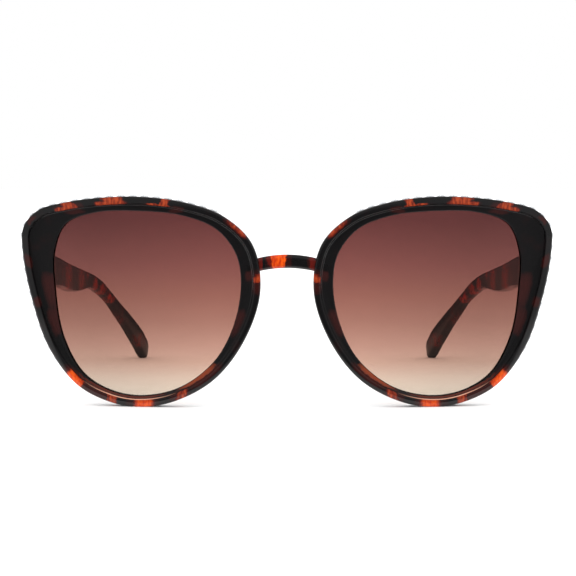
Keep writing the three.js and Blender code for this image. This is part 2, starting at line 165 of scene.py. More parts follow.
# The pattern's length coordinate starts at a plain dark place beside the nose and runs over the top.
pattern_curve = np.roll(rim_curve, -int(np.argmin(np.linalg.norm(rim_curve - PATTERN_START, axis=1))), axis=0)
pattern_curve = np.vstack([pattern_curve, pattern_curve[:1]])
pattern_run = np.concatenate([[0], np.cumsum(np.linalg.norm(np.diff(pattern_curve, axis=0), axis=1))])


def run_at(point):
    """Millimetres along the rim's outline from PATTERN_START to the outline's nearest point."""
    return pattern_run[int(np.argmin(np.linalg.norm(pattern_curve[:-1] - point, axis=1)))]


def smooth_step(values, low, high):
    """0 below low and 1 above high, with a smooth rise between them."""
    share = np.clip((values - low) / (high - low), 0, 1)
    return share * share * (3 - 2 * share)


def radii(curve, angles):
    """How far the closed curve lies from the lens's centre in each direction."""
    dx, dz = (curve - LENS_CENTRE).T
    around = np.arctan2(dz, dx)
    order = np.argsort(around)
    return np.interp(angles, around[order], np.hypot(dx, dz)[order], period=2 * math.pi)


def around_lens(distances, angles):
    """The points (x, z) at those distances from the lens's centre."""
    return distances[:, None] * np.column_stack([np.cos(angles), np.sin(angles)]) + LENS_CENTRE


# ---- Meshes ----

PATTERN_MAP = "pattern"  # the UV map with each point's place in the tortoiseshell pattern


def new_object(name, vertices, faces, pattern=None):
    """A mesh object; pattern gives each vertex its place in the tortoiseshell pattern, in millimetres."""
    mesh = bpy.data.meshes.new(name)
    mesh.from_pydata([tuple(v) for v in vertices], [], [tuple(f) for f in faces])
    if pattern is not None:
        layer = mesh.uv_layers.new(name=PATTERN_MAP)
        for polygon in mesh.polygons:
            runs = [pattern[i][0] for i in polygon.vertices]
            wraps = max(runs) - min(runs) > pattern_run[-1] / 2
            for corner, run, i in zip(polygon.loop_indices, runs, polygon.vertices):
                late = pattern_run[-1] if wraps and run < pattern_run[-1] / 2 else 0
                layer.data[corner].uv = (run + late, pattern[i][1])
    fixed = bmesh.new()
    fixed.from_mesh(mesh)
    bmesh.ops.recalc_face_normals(fixed, faces=fixed.faces)
    fixed.to_mesh(mesh)
    fixed.free()
    obj = bpy.data.objects.new(name, mesh)
    bpy.context.scene.collection.objects.link(obj)
    return obj


def smooth(obj, sharp_degrees):
    """Smooth shading, but for edges that turn by more than the angle."""
    obj.data.shade_smooth()
    obj.data.set_sharp_from_angle(angle=math.radians(sharp_degrees))


def ring_faces(rings, count, joined=False):
    """Quads from ring to ring of count vertices each; the ends are closed unless they are joined together."""
    faces = []
    for r in range(rings if joined else rings - 1):
        for c in range(count):
            r2 = (r + 1) % rings
            c2 = (c + 1) % count
            faces.append((r * count + c, r * count + c2, r2 * count + c2, r2 * count + c))
    if not joined:
        faces.append(tuple(range(count)))
        faces.append(tuple(range((rings - 1) * count, rings * count)))
    return faces


def loft(name, sections, pattern=None):
    """Sections with equal counts, joined one to the next, with both ends closed."""
    faces = ring_faces(len(sections), len(sections[0]))
    return new_object(name, place(np.vstack(sections)), faces, pattern)


def rounded_rectangle(width, height, radius, per_corner=7):
    """Points round a rectangle centred on 0, 0 with round corners."""
    radius = min(radius, width / 2 - 1e-3, height / 2 - 1e-3)
    turn = np.linspace(0, math.pi / 2, per_corner)
    points = []
    for i, (sx, sz) in enumerate(((1, 1), (-1, 1), (-1, -1), (1, -1))):
        centre = np.array([sx * (width / 2 - radius), sz * (height / 2 - radius)])
        arc = np.column_stack([np.cos(turn + i * math.pi / 2), np.sin(turn + i * math.pi / 2)])
        points.append(centre + radius * arc)
    return np.vstack(points)


def join_solid(target, tool, operation):
    """Cuts or joins target with tool, which is then removed."""
    modifier = target.modifiers.new("join", "BOOLEAN")
    modifier.operation = operation
    modifier.solver = "EXACT"
    modifier.object = tool
    bpy.context.view_layer.update()
    joined = bpy.data.meshes.new_from_object(target.evaluated_get(bpy.context.evaluated_depsgraph_get()))
    target.modifiers.clear()
    target.data = joined
    bpy.data.objects.remove(tool)


def finish_piece(obj, node, body, material):
    """Gives the piece its material and body, and lets it replace the CAD node if one is named."""
    obj.data.materials.clear()
    obj.data.materials.append(material)
    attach(obj, body)
    if node:
        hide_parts(node)


# ---- Front ----

RING_STATIONS = 340
# The ridge's section, as (distance in from the outer edge, depth where it slopes, depth where it is flat).
RIDGE = [
    (0.1, 0.56, 0.34), (0.22, 0.42, 0.16), (0.42, 0.34, 0.06), (0.75, 0.26, 0.01), (1.1, 0.18, 0.0),
    (1.45, 0.1, 0.02), (1.66, 0.05, 0.06), (1.8, 0.02, 0.15), (1.9, 0.03, 0.3), (1.97, 0.12, 0.5),
    (2.08, 0.6, 0.95), (2.2, 1.04, 1.08), (2.28, 1.15, 1.16), (2.42, 1.2, 1.2),
]
PATTERN_AT_WALL = 0.5  # the outer wall's start and the back's start on the pattern's cross coordinate
PATTERN_AT_BACK = -4.2
BRIDGE_PATTERN = -100.0  # the bridge's place on the pattern's length coordinate
PLAIN_PATTERN = (-500.0, 0.0)  # a place without the listed patches


def strip_run(count, closed_ends=True):
    """Points on the rim's edge along the stones' run, and the outward direction at each."""
    start, end = (int(np.argmin(np.linalg.norm(rim_curve - p, axis=1))) for p in (STRIP_START, STRIP_END))
    run = np.roll(rim_curve, -start, axis=0)[: (end - start) % len(rim_curve) + 1]
    shares = np.linspace(0, 1, count) if closed_ends else (np.arange(count) + 0.5) / count
    points = along(run, shares)
    ahead = along(run, np.minimum(shares + 0.002, 1)) - along(run, np.maximum(shares - 0.002, 0))
    ahead /= np.linalg.norm(ahead, axis=1)[:, None]
    return points, np.column_stack([-ahead[:, 1], ahead[:, 0]])


def rim_profile():
    """The rim's section all the way round, as (curve, distance outwards from it, depth, part).

    In the ridge the depth is a pair: where the ridge slopes outwards and where it is flat.
    """
    slot_front, slot_back = STONE_DEPTH - SLOT_HALF_WIDTH, STONE_DEPTH + SLOT_HALF_WIDTH
    wall = [("rim", 0.0, 4.1), ("slot", 0.0, slot_back), ("slot", SLOT_FLOOR, slot_back),
            ("slot", SLOT_FLOOR, slot_front), ("slot", 0.0, slot_front), ("rim", 0.0, 0.8),
            ("rim", 0.03, 0.64)]
    lip = [(0.34, 1.24), (0.2, 1.26), (0.08, 1.33), (0.0, 1.45), (0.0, 1.6), (0.9, 1.6)]
    rear_lip = [(0.9, 4.0), (0.0, 4.0), (0.0, 4.4), (0.05, 4.58), (0.18, 4.72), (0.4, RIM_THICKNESS)]
    back = [(1.0, RIM_THICKNESS), (0.7, 4.78), (0.4, 4.68), (0.16, 4.48), (0.04, 4.28)]
    profile = [(kind, -distance - EDGE_INSET, depth, "wall") for kind, distance, depth in wall]
    profile += [("rim", -distance - EDGE_INSET, depths, "front") for distance, *depths in RIDGE]
    profile += [("lens", distance, depth, "front") for distance, depth in lip]
    profile += [("lens", distance, depth, "back") for distance, depth in rear_lip]
    profile += [("rim", -distance - EDGE_INSET, depth, "back") for distance, depth in back]
    return profile


def ridge_slope(outline):
    """1 where the ridge slopes outwards, on the brow and the outer side, and 0 by the nose and underneath."""
    ahead = np.roll(outline, -1, axis=0) - np.roll(outline, 1, axis=0)
    facing_up = -ahead[:, 0] / np.linalg.norm(ahead, axis=1)
    clear_of_nose = smooth_step(outline[:, 0], 20, 35)
    not_underneath = smooth_step(facing_up, -0.75, -0.35)
    return clear_of_nose * not_underneath


def beside_stones(angles):
    """Which directions from the lens's centre meet the rim along the stones' run."""
    run, _ = strip_run(400)
    run_angles = np.unwrap(np.arctan2(*(run - LENS_CENTRE).T[::-1]))
    low, high = run_angles.min(), run_angles.max()
    return ((angles - low) % (2 * math.pi)) <= high - low


def rim_ring(name, side):
    """One rim as a closed ring of sections round the lens's centre.

    The pattern's cross coordinate is the distance in from the outer edge on the front, and goes on below
    zero down the outer wall and over the back.
    """
    angles = np.linspace(-math.pi, math.pi, RING_STATIONS, endpoint=False)
    slotted = beside_stones(angles)
    outer = radii(rim_curve, angles)
    outline = around_lens(outer, angles)
    runs = np.array([run_at(point) for point in outline])
    sloped = ridge_slope(outline)
    rows = []
    pattern = []
    for kind, distance, depth, part in rim_profile():
        if isinstance(depth, list):
            depth = depth[1] + (depth[0] - depth[1]) * sloped
        base = opening_curve if kind == "lens" else rim_curve
        r = radii(offset(base, distance), angles)
        if kind == "slot":
            r = np.where(slotted, r, radii(offset(base, -EDGE_INSET), angles))
        x, z = around_lens(r, angles).T
        rows.append(np.column_stack([side * x, bent(x, depth), z]))
        inwards = -distance if kind != "lens" else outer - r
        across = {"wall": PATTERN_AT_WALL - depth, "front": inwards, "back": PATTERN_AT_BACK - inwards}[part]
        pattern.append(np.column_stack([runs, np.broadcast_to(across, runs.shape)]))
    faces = ring_faces(len(rows), RING_STATIONS, joined=True)
    return new_object(name, place(np.vstack(rows)), faces, np.vstack(pattern))


def bridge_bar():
    """The bar between the rims, a little arched and sunk into both."""
    sections = []
    pattern = []
    section = rounded_rectangle(BRIDGE_THICKNESS, BRIDGE_HEIGHT, BRIDGE_CORNER)
    middle = BRIDGE_DEPTH + BRIDGE_THICKNESS / 2
    for x in np.linspace(-BRIDGE_HALF_SPAN, BRIDGE_HALF_SPAN, 33):
        top = BRIDGE_TOP - BRIDGE_DROP * (x / BRIDGE_HALF_SPAN) ** 2
        depth = bent(x, 0) + middle + section[:, 0]
        z = top - BRIDGE_HEIGHT / 2 + section[:, 1]
        sections.append(np.column_stack([np.full(len(section), x), depth, z]))
        pattern.append(np.column_stack([np.full(len(section), BRIDGE_PATTERN + x), section[:, 1]]))
    return loft("bridge_bar", sections, np.vstack(pattern))


def lug(side):
    """The end piece that carries the hinge, with a small flare where it leaves the rim."""
    rear = HINGE_DEPTH - TEMPLE_GAP
    flares = ((10.5, 0.9), (13.4, 0.75), (14.0, 0.35), (14.6, 0.12), (15.3, 0.0))
    insets = ((rear - 0.25, 0.0), (rear - 0.08, 0.06), (rear, 0.25))
    sections = []
    for depth, flare, inset in [(d, f, 0.0) for d, f in flares] + [(d, 0.0, i) for d, i in insets]:
        height = LUG_TOP - LUG_BOTTOM + 2 * flare - 2 * inset
        section = rounded_rectangle(LUG_THICKNESS - 2 * inset, height, LUG_CORNER)
        x = LUG_INNER_X + LUG_THICKNESS / 2 + section[:, 0]
        z = (LUG_TOP + LUG_BOTTOM) / 2 + section[:, 1]
        sections.append(np.column_stack([side * x, np.full(len(x), depth), z]))
    return loft("lug", sections, [PLAIN_PATTERN] * sum(len(section) for section in sections))


def hinge_room(side, radius=1.5, half_height=8.0, sides=48):
    """An upright cylinder that leaves room for the knuckles."""
    turn = np.linspace(0, 2 * math.pi, sides, endpoint=False)
    circle = np.column_stack([side * HINGE_X + radius * np.cos(turn), HINGE_DEPTH + radius * np.sin(turn)])
    middle = (LUG_TOP + LUG_BOTTOM) / 2
    return loft("hinge_room", [np.column_stack([circle, np.full(sides, middle + h)])
                               for h in (-half_height, half_height)])


def flatten_feet(obj):
    """Flattens the feet, which reach a hair below the floor, so that the piece stands on a flat."""
    for vertex in obj.data.vertices:
        vertex.co.z = max(vertex.co.z, 0.0)


def build_front(material):
    front = rim_ring("front", 1)
    join_solid(front, rim_ring("right_rim", -1), "UNION")
    join_solid(front, bridge_bar(), "UNION")
    for _, side in SIDES:
        join_solid(front, lug(side), "UNION")
        join_solid(front, hinge_room(side), "DIFFERENCE")
    flatten_feet(front)
    smooth(front, 38)
    finish_piece(front, "frame_front", "front", material)


def build_lens(name, side, material):
    """A lens: the opening's outline a little larger, bent like the front, with its edge in the groove."""
    angles = np.linspace(-math.pi, math.pi, 180, endpoint=False)
    edge = radii(offset(opening_curve, LENS_BITE), angles)
    shares = np.concatenate([np.linspace(0.04, 0.96, 24), [0.995, 1.0]])
    rows = []
    for depth, order in ((LENS_DEPTH, shares), (LENS_DEPTH + LENS_THICKNESS, shares[::-1])):
        for share in order:
            depth_here = depth
            if share == 1.0:
                depth_here += LENS_BEVEL if depth == LENS_DEPTH else -LENS_BEVEL
            x, z = around_lens(edge * share, angles).T
            rows.append(np.column_stack([side * x, bent(x, depth_here), z]))
    lens = loft(name, rows)
    smooth(lens, 50)
    finish_piece(lens, name, "front", material)


def build_nose_pad(name, side, material):
    """An oval pad, flat where it is glued to the back of the rim."""
    tilt = math.radians(PAD_TILT)
    ball = bmesh.new()
    bmesh.ops.create_uvsphere(ball, u_segments=48, v_segments=32, radius=1)
    points = np.array([v.co[:] for v in ball.verts])
    faces = [[v.index for v in f.verts] for f in ball.faces]
    ball.free()
    points = np.sign(points) * np.abs(points) ** PAD_BULGE * PAD_HALF_SIZES
    x = points[:, 0] * math.cos(tilt) - points[:, 2] * math.sin(tilt) + PAD_CENTRE[0]
    z = points[:, 0] * math.sin(tilt) + points[:, 2] * math.cos(tilt) + PAD_CENTRE[2]
    depth = np.maximum(points[:, 1] + PAD_CENTRE[1], bent(x, RIM_THICKNESS + GLUE_GAP))
    pad = new_object(name, place(np.column_stack([side * x, depth, z])), faces)
    smooth(pad, 40)
    finish_piece(pad, name, "front", material)


# ---- Temples ----

def temple_sections():
    """Sections of the left temple from the butt to the tip, each a closed ring of (x, depth, z)."""
    upper = smooth_curve(TEMPLE_UPPER, False)
    lower = smooth_curve(TEMPLE_LOWER, False)
    tip = smooth_curve([TEMPLE_UPPER[-1], *TEMPLE_TIP, TEMPLE_LOWER[-1]], False)
    plan = smooth_curve(TEMPLE_PLAN, False)
    slope = np.gradient(plan[:, 0], plan[:, 1])
    tip_middle = 0.42  # where along the round end its two halves meet
    pairs = [(along(upper, [s])[0], along(lower, [s])[0], 0.0) for s in np.linspace(0, 1, 110)]
    for s in np.sin(np.linspace(0, math.pi / 2, 16))[1:]:
        top = along(tip, [tip_middle * s])[0]
        bottom = along(tip, [1 - (1 - tip_middle) * s])[0]
        pairs.append((top, bottom, s))
    butt = HINGE_DEPTH + TEMPLE_GAP
    rounding_length, rounding = BUTT_ROUNDING
    least_share, least_height = 0.004, 0.12  # keep the last sections from vanishing
    sections = []
    for top, bottom, closing in pairs:
        full_thickness = np.interp((top[0] + bottom[0]) / 2, *zip(*TEMPLE_THICKNESS))
        thickness = full_thickness * math.sqrt(max(1 - closing ** 2, least_share))
        height = max(np.linalg.norm(top - bottom), least_height)
        from_butt = np.clip((top[0] - butt) / rounding_length, 0, 1)
        inset = rounding * (1 - math.sqrt(1 - (1 - from_butt) ** 2))
        ring = rounded_rectangle(thickness - 2 * inset, height - 2 * inset, TEMPLE_CORNER, 6)
        share = ring[:, 1] / height + 0.5
        depth = np.maximum(bottom[0] + (top[0] - bottom[0]) * share, butt)
        z = bottom[1] + (top[1] - bottom[1]) * share
        inner = np.interp(depth, plan[:, 1], plan[:, 0])
        stretch = np.sqrt(1 + np.interp(depth, plan[:, 1], slope) ** 2)
        x = inner + (full_thickness / 2 + ring[:, 0]) * stretch
        sections.append(np.column_stack([x, depth, z]))
    return sections


def build_temple(side_name, side, material):
    name = f"temple_{side_name}"
    temple = loft(name, [section * (side, 1, 1) for section in temple_sections()])
    join_solid(temple, hinge_room(side), "DIFFERENCE")
    flatten_feet(temple)
    smooth(temple, 38)
    finish_piece(temple, name, f"temple_arm_{side_name}", material)


# ---- Stones ----

def stone_shape():
    """A cut stone with its crown up, as vertices and faces; its rings are (radius, height, count, turn)."""
    rings = ((0.55, 0.60, 8, 0.5), (0.82, 0.42, 8, 0.0), (1.0, 0.16, 16, 0.0), (1.0, 0.08, 16, 0.0))
    vertices = []
    starts = []
    for radius, height, count, turn in rings:
        starts.append(len(vertices))
        for i in range(count):
            angle = 2 * math.pi * (i + turn) / count
            vertices.append((radius * math.cos(angle), radius * math.sin(angle), height))
    vertices.append((0, 0, -0.55))
    table, star, girdle, foot = starts
    faces = [tuple(range(table, table + 8))]
    for i in range(8):
        j = (i + 1) % 8
        faces.append((table + i, table + (i - 1) % 8, star + i))
        faces.append((table + i, star + i, star + j))
        faces.append((star + i, girdle + 2 * i, girdle + 2 * i + 1))
        faces.append((star + i, girdle + 2 * i + 1, star + j))
        faces.append((star + j, girdle + 2 * i + 1, girdle + (2 * i + 2) % 16))
    for i in range(16):
        j = (i + 1) % 16
        faces.append((girdle + i, foot + i, foot + j, girdle + j))
        faces.append((foot + i, len(vertices) - 1, foot + j))
    return np.array(vertices), faces


def stone_places(side):
    """For each stone a 3x3 turn and an origin on the rim's edge, in (x, depth, z)."""
    points, outward = strip_run(STONE_COUNT, closed_ends=False)
    for (x, z), (ox, oz) in zip(points, outward):
        out = np.array([side * ox, 0, oz])
        back = np.array([0, 1, 0])
        turn = np.column_stack([np.cross(back, out), back, out])
        yield turn, np.array([side * x, bent(x, 0) + STONE_DEPTH, z])


def repeated(name, shape, places):
    """One object with a copy of the shape at each place."""
    vertices, faces = shape
    all_vertices = []
    all_faces = []
    for turn, origin in places:
        start = len(all_vertices) * len(vertices)
        all_vertices.append(vertices @ turn.T + origin)
        all_faces += [tuple(start + i for i in face) for face in faces]
    return new_object(name, place(np.vstack(all_vertices)), all_faces)


def cup_shape(sides=20):
    """A round cup with a rolled rim that holds a stone."""
    profile = ((1.14, -0.5), (1.15, 0.0), (1.14, 0.09), (1.1, 0.14), (1.04, 0.14), (1.0, 0.1), (0.98, 0.0))
    vertices = []
    for radius, height in profile:
        for i in range(sides):
            angle = 2 * math.pi * i / sides
            vertices.append((radius * math.cos(angle), radius * math.sin(angle), height))
    return np.array(vertices), ring_faces(len(profile), sides)


def rail(name, side):
    """The metal strip that carries the cups, let into the rim's edge; its section is (across, outwards)."""
    section = [(-1.12, -0.6), (1.12, -0.6), (1.14, -0.02), (1.1, 0.04), (1.0, 0.05), (0.92, 0.0), (0.9, -0.1),
               (-0.9, -0.1), (-0.92, 0.0), (-1.0, 0.05), (-1.1, 0.04), (-1.14, -0.02)]
    points, outward = strip_run(150)
    sections = []
    for (x, z), (ox, oz) in zip(points, outward):
        ring = []
        for across, out in section:
            px = x + ox * out
            ring.append((side * px, bent(x, 0) + STONE_DEPTH + across, z + oz * out))
        sections.append(np.array(ring))
    return loft(name, sections)


def build_stones(side_name, side, metal, crystal):
    strip = rail(f"stone_rail_{side_name}", side)
    smooth(strip, 30)
    cups = repeated(f"stone_cups_{side_name}", cup_shape(), stone_places(side))
    smooth(cups, 30)
    stones = repeated(f"stones_{side_name}", stone_shape(), stone_places(side))
    finish_piece(strip, f"stone_strip_{side_name}", "front", metal)
    finish_piece(cups, None, "front", metal)
    finish_piece(stones, None, "front", crystal)


# ---- Node trees ----

class Nodes:
    """Short names for building the node tree of a material or a world."""

    def __init__(self, owner, output="ShaderNodeOutputMaterial"):
        owner.use_nodes = True
        self.tree = owner.node_tree
        self.tree.nodes.clear()
        self.output = self.tree.nodes.new(output)

    def add(self, kind, inputs=None, **settings):
        node = self.tree.nodes.new(kind)
        for key, value in settings.items():
            setattr(node, key, value)
        for key, value in (inputs or {}).items():
            if isinstance(value, bpy.types.NodeSocket):
                self.tree.links.new(value, node.inputs[key])
            else:
                node.inputs[key].default_value = value
        return node

    def math(self, operation, a, b=0.0):
        return self.add("ShaderNodeMath", {0: a, 1: b}, operation=operation).outputs[0]

    def multiply_add(self, a, factor, added):
        return self.add("ShaderNodeMath", {0: a, 1: factor, 2: added}, operation="MULTIPLY_ADD").outputs[0]

    def inverse(self, share):
        return self.math("SUBTRACT", 1.0, share)

    def vector(self, operation, a, b):
        return self.add("ShaderNodeVectorMath", {0: a, 1: b}, operation=operation).outputs[0]

    def parts(self, vector):
        return self.add("ShaderNodeSeparateXYZ", {0: vector}).outputs

    def joined(self, x, y, z):
        return self.add("ShaderNodeCombineXYZ", {0: x, 1: y, 2: z}).outputs[0]

    def spread(self, value, low, high, start=0.0, end=1.0):
        """From start to end as the value goes from low to high, and held at both ends."""
        return self.add("ShaderNodeMapRange", {"Value": value, "From Min": low, "From Max": high,
                                               "To Min": start, "To Max": end}).outputs[0]

    def noise(self, position, scale, detail, output="Fac", roughness=0.5):
        return self.add("ShaderNodeTexNoise", {"Vector": position, "Scale": scale, "Detail": detail,
                                               "Roughness": roughness}).outputs[output]

    def mix(self, share, a, b):
        """The colour a where the share is 0 and b where it is 1."""
        return self.add("ShaderNodeMix", {0: share, 6: a, 7: b}, data_type="RGBA").outputs[2]

    def ramp(self, share, stops):
        """A colour that changes along (place from 0 to 1, colour) stops."""
        node = self.add("ShaderNodeValToRGB", {0: share})
        elements = node.color_ramp.elements
        while len(elements) < len(stops):
            elements.new(0.5)
        for element, (place_now, colour) in zip(elements, stops):
            element.position = place_now
            element.color = colour
        return node.outputs[0]

    def finish(self, shader):
        self.tree.links.new(shader, self.output.inputs["Surface"])


def rgb(red, green, blue):
    """An sRGB colour from 0 to 255 as a linear one."""
    return tuple((c / 255) ** 2.2 for c in (red, green, blue)) + (1.0,)


def grey(level):
    return (level, level, level, 1.0)


# ---- Tortoiseshell ----

# Streaks that run along the rims, as (first end, last end, outer side, inner side, slant): the ends are
# (x, z) on the left rim, and the sides are millimetres in from its outer edge.
ORANGE_STREAKS = [
    ((59.9, 8.4), (55.9, 5.0), -5.0, 2.3, 0.2),
    ((41.4, 0.0), (36.4, 0.2), -5.5, 2.2, 0.0),
]
DEEP_STREAKS = [
    ((45.3, 56.8), (49.8, 56.4), -2.0, 2.2, 0.5),
    ((48.0, 56.6), (52.2, 56.2), 1.1, 2.3, 0.0),
    ((31.8, 55.4), (34.0, 55.6), -1.0, 2.2, -0.3),
    ((31.6, 55.2), (37.4, 55.8), 1.6, 2.3, 0.0),
    ((12.0, 46.2), (15.8, 49.6), -2.0, 0.9, 0.3),
    ((58.4, 55.6), (61.4, 54.9), -1.0, 2.0, 0.4),
    ((60.2, 55.1), (63.6, 54.4), 1.1, 2.1, 0.0),
    ((48.7, 1.4), (46.2, 0.7), -2.0, 2.3, 0.4),
    ((29.9, 1.8), (27.4, 2.8), -3.0, 2.1, -0.5),
    ((7.1, 34.0), (7.3, 36.2), -4.0, 1.8, 0.0),
]
RED_STREAKS = [
    ((10.9, 45.6), (16.6, 50.6), -3.0, 1.3, 0.0),
    ((27.0, 55.0), (30.2, 55.6), 1.5, 3.0, 0.0),
    ((43.8, 56.9), (52.8, 56.2), 0.9, 2.4, 0.0),
    ((56.0, 56.0), (64.0, 54.2), 0.6, 2.2, 0.0),
    ((72.3, 41.8), (71.5, 37.8), 0.6, 2.3, 0.0),
    ((69.4, 52.0), (71.2, 50.0), 0.2, 1.5, 0.0),
    ((69.4, 29.4), (68.9, 27.0), 0.5, 2.4, 0.3),
    ((55.2, 4.2), (48.4, 1.3), -3.0, 2.5, 0.0),
    ((43.4, 0.1), (34.6, 0.6), -2.0, 2.5, 0.0),
    ((31.2, 1.4), (26.0, 3.6), -2.0, 2.3, 0.0),
    ((25.0, 4.0), (16.5, 10.8), 1.0, 2.5, 0.0),
    ((7.2, 31.0), (7.6, 37.4), -3.0, 2.1, 0.0),
    ((61.4, 10.2), (53.5, 3.4), -3.0, 2.6, 0.0),
]
# The same for the set-back face inside the ridge.
RECESS_STREAKS = [
    ((57.0, 55.8), (62.0, 54.6), 2.3, 4.0, 0.6),
    ((71.4, 37.5), (69.3, 26.6), 4.2, 9.5, 0.4),
    ((69.2, 26.4), (66.0, 18.5), 3.0, 7.5, 0.5),
    ((7.3, 35.0), (7.6, 38.0), 2.0, 4.0, 0.0),
    ((28.5, 55.6), (31.0, 55.8), 2.4, 3.6, 0.0),
    ((11.4, 18.2), (8.2, 26.0), 2.6, 6.5, 0.0),
]
# Painted light over the plastic's red, low in the set-back face, as streaks in the same columns.
RED_WITH_PAINTED_LIGHT_STREAKS = [
    ((58.0, 6.6), (33.0, 0.9), 2.3, 3.0, 0.0),
    ((28.6, 2.4), (18.6, 8.6), 2.3, 3.3, 0.0),
]
RED_WITH_PAINTED_GLOW_STREAKS = [((27.0, 3.0), (17.6, 9.4), 2.3, 3.5, 0.0)]
PAINTED_HIGHLIGHT_ENDS = ((57.0, 5.8), (29.0, 2.1))  # a painted highlight line along the ridge's inner edge, low on the rim, standing in for overhead light reflected on the ridge's step
PAINTED_HIGHLIGHT_FADE = (0.12, 0.05)  # distances from the ridge's edge
# On the bridge: (middle of its length, half length, bottom, top, slant), x being positive on the left.
BRIDGE_ORANGE = [(-2.9, 1.3, -3.0, 3.0, 0.2), (-1.9, 1.3, -3.0, 3.0, -0.3)]
BRIDGE_RED = [(-7.1, 0.55, -3.0, 3.0, 0.0), (-4.2, 0.8, -3.0, 3.0, 0.3), (6.9, 0.7, -3.0, 3.0, 0.0)]
BRIDGE_BODY = [(-2.2, 3.2, -3.0, 3.0, 0.0), (7.5, 1.8, -3.0, 3.0, 0.0)]
# Red clouds on the temples, as (depth, z, half length, half height, turn in degrees).
TEMPLE_CLOUDS = [
    (57, 33, 5.6, 5.2, 10),
    (78.8, 30.6, 4.2, 3.6, -10),
    (88.5, 31.6, 1.6, 1.4, 0),
    (98.5, 27.8, 2.3, 2.2, 20),
    (105.5, 25.8, 2.7, 1.8, 0),
    (112, 22.8, 2.3, 1.3, -30),
]
TEMPLE_CLOUD_X = 60  # with a half size of THROUGH, a cloud goes right through the plastic
THROUGH = 60
TEMPLE_OUTSIDE = (67.5, 69.5)  # the orange patches fade in between these distances from the middle

DARK_PLASTIC = rgb(16, 15, 16)
DARK_RED = rgb(46, 17, 15)
RECESS_RED = rgb(46, 21, 20)
BRIDGE_STREAK_RED = rgb(84, 22, 16)
HALO_RED = rgb(84, 22, 13)
# painted light over the plastic's red, low in the recess, in this colour and the next
RED_WITH_PAINTED_LIGHT_BROWN = rgb(74, 33, 25)
RED_WITH_PAINTED_GLOW_BROWN = rgb(118, 54, 34)
# painted highlight: stands in for overhead light reflected on the ridge's step
PAINTED_HIGHLIGHT_COLOUR = rgb(214, 158, 134)
# Each as the deeper and the brighter colour of its flakes.
DEEP_ORANGE = (rgb(88, 25, 14), rgb(150, 58, 28))
BRIGHT_ORANGE = (rgb(168, 46, 12), rgb(212, 80, 17))
TEMPLE_RED = (rgb(112, 25, 14), rgb(192, 56, 24))
TEMPLE_ORANGE = (rgb(150, 36, 12), rgb(235, 80, 18))
FLAKE_STRETCH = (1.9, 0.6, 0.6)  # the flakes are finer across than up and down


def design_position(n):
    """The point in the design's millimetres."""
    here = n.add("ShaderNodeTexCoord").outputs["Object"]
    scaled = n.vector("MULTIPLY", here, (1 / MM,) * 3)
    return n.vector("ADD", scaled, (0, -DEPTH_ZERO, FLOOR_CUT))


def folded_position(n):
    """The same, folded onto the left side, so that both sides get the same pattern."""
    x, depth, z = n.parts(design_position(n))
    return n.joined(n.math("ABSOLUTE", x), depth, z)


def wobbled(n, position, scale, amount):
    """The position pushed about by noise, which makes the edges of patches ragged."""
    noise = n.noise(position, scale, 3.0, "Color")
    push = n.vector("MULTIPLY", n.vector("SUBTRACT", noise, (0.5, 0.5, 0.5)), (amount,) * 3)
    return n.vector("ADD", position, push)


def largest(n, values):
    total = values[0]
    for value in values[1:]:
        total = n.math("MAXIMUM", total, value)
    return total


def rim_streaks(rows):
    """The listed streaks as (centre, half length, outer side, inner side, slant) on the pattern map."""
    streaks = []
    for first, last, *rest in rows:
        low, high = sorted((run_at(first), run_at(last)))
        streaks.append(((low + high) / 2, (high - low) / 2, *rest))
    return streaks


def bridge_streaks(rows):
    return [(BRIDGE_PATTERN + x, *rest) for x, *rest in rows]


def streak_reach(n, place_on_rim, streaks):
    """Below 1 inside any of the streaks and above 1 outside them all."""
    nearest = None
    for centre, half, outer, inner, slant in streaks:
        middle = (outer + inner) / 2
        half_width = (inner - outer) / 2
        lengthways = (1 / half, slant / half, -(centre + slant * middle) / half)
        crossways = (0, 1 / half_width, -middle / half_width)
        powers = []
        for direction in (lengthways, crossways):
            share = n.add("ShaderNodeVectorMath", {0: place_on_rim, 1: direction}, operation="DOT_PRODUCT")
            square = n.math("MULTIPLY", share.outputs["Value"], share.outputs["Value"])
            powers.append(n.math("MULTIPLY", square, square))
        reach = n.math("ADD", *powers)
        nearest = reach if nearest is None else n.math("MINIMUM", nearest, reach)
    return nearest


def within(n, reach, softness):
    """1 well inside a reach of 1 and 0 well outside it."""
    return n.spread(reach, 1 + softness, 1 - softness)


def streak_mask(n, place_on_rim, streaks, softness):
    return within(n, streak_reach(n, place_on_rim, streaks), softness)


def cloud_mask(n, position, clouds, softness):
    """1 inside any of the oval clouds: (centre, half sizes, turn about the x axis in degrees)."""
    masks = []
    for centre, half_sizes, turn in clouds:
        local = n.add("ShaderNodeMapping", {"Vector": position, "Location": centre, "Scale": half_sizes,
                                            "Rotation": (math.radians(turn), 0, 0)}, vector_type="TEXTURE")
        reach = n.add("ShaderNodeVectorMath", {0: local.outputs[0]}, operation="LENGTH").outputs["Value"]
        masks.append(within(n, reach, softness))
    return largest(n, masks)


def soft_clouds(n, position, scale, low, high):
    return n.spread(n.noise(position, scale, 2.5, roughness=0.55), low, high)


def flaked(n, position, colours):
    """A colour that breaks into deeper and brighter flakes."""
    flakes = n.noise(n.vector("MULTIPLY", position, FLAKE_STRETCH), 0.9, 2.0)
    return n.mix(n.spread(flakes, 0.36, 0.62), *colours)


def polished(n, colour):
    """Polished acetate over a finished colour."""
    return n.add("ShaderNodeBsdfPrincipled", {
        "Base Color": colour, "Roughness": 0.06, "IOR": 1.49,
    }).outputs[0]


def ragged_pattern(n, folded, run, across):
    """The pattern map's coordinates with ragged edges, as (along, across, 1)."""
    push = n.parts(n.noise(folded, 0.8, 3.0, "Color"))
    shifted = [n.multiply_add(n.math("SUBTRACT", push[axis], 0.5), amount, clean)
               for axis, amount, clean in ((0, 1.9, run), (1, 0.8, across))]
    return n.joined(*shifted, 1.0)


